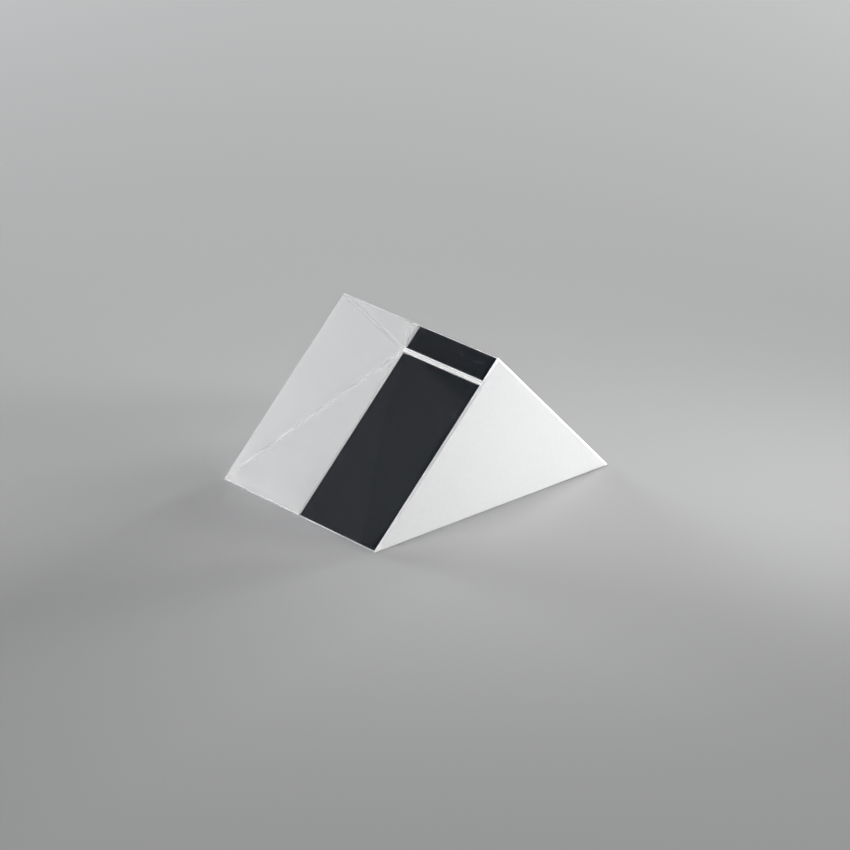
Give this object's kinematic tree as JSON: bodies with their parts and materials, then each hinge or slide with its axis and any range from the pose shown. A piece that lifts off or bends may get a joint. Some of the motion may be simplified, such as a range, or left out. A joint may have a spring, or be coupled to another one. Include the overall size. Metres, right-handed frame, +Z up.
{
  "type": "right angle prism",
  "caption": "Solid glass right angle prism for turning or folding a beam, lying on its polished hypotenuse face, with ground ends and bevelled edges.",
  "frame": {"origin": "middle of the hypotenuse face that the prism lies on", "axes": "+X along the ridge, from one ground end to the other, +Y across the hypotenuse face, +Z up from it to the ridge"},
  "size_m": [0.0254, 0.0354, 0.0178],
  "materials": {
    "glass": "clear optical glass, polished on the two leg faces and the hypotenuse face, fine ground and white on the two triangular ends and on the edge bevels"
  },
  "bodies": {
    "root": {"prism": "glass"}
  },
  "joints": []
}
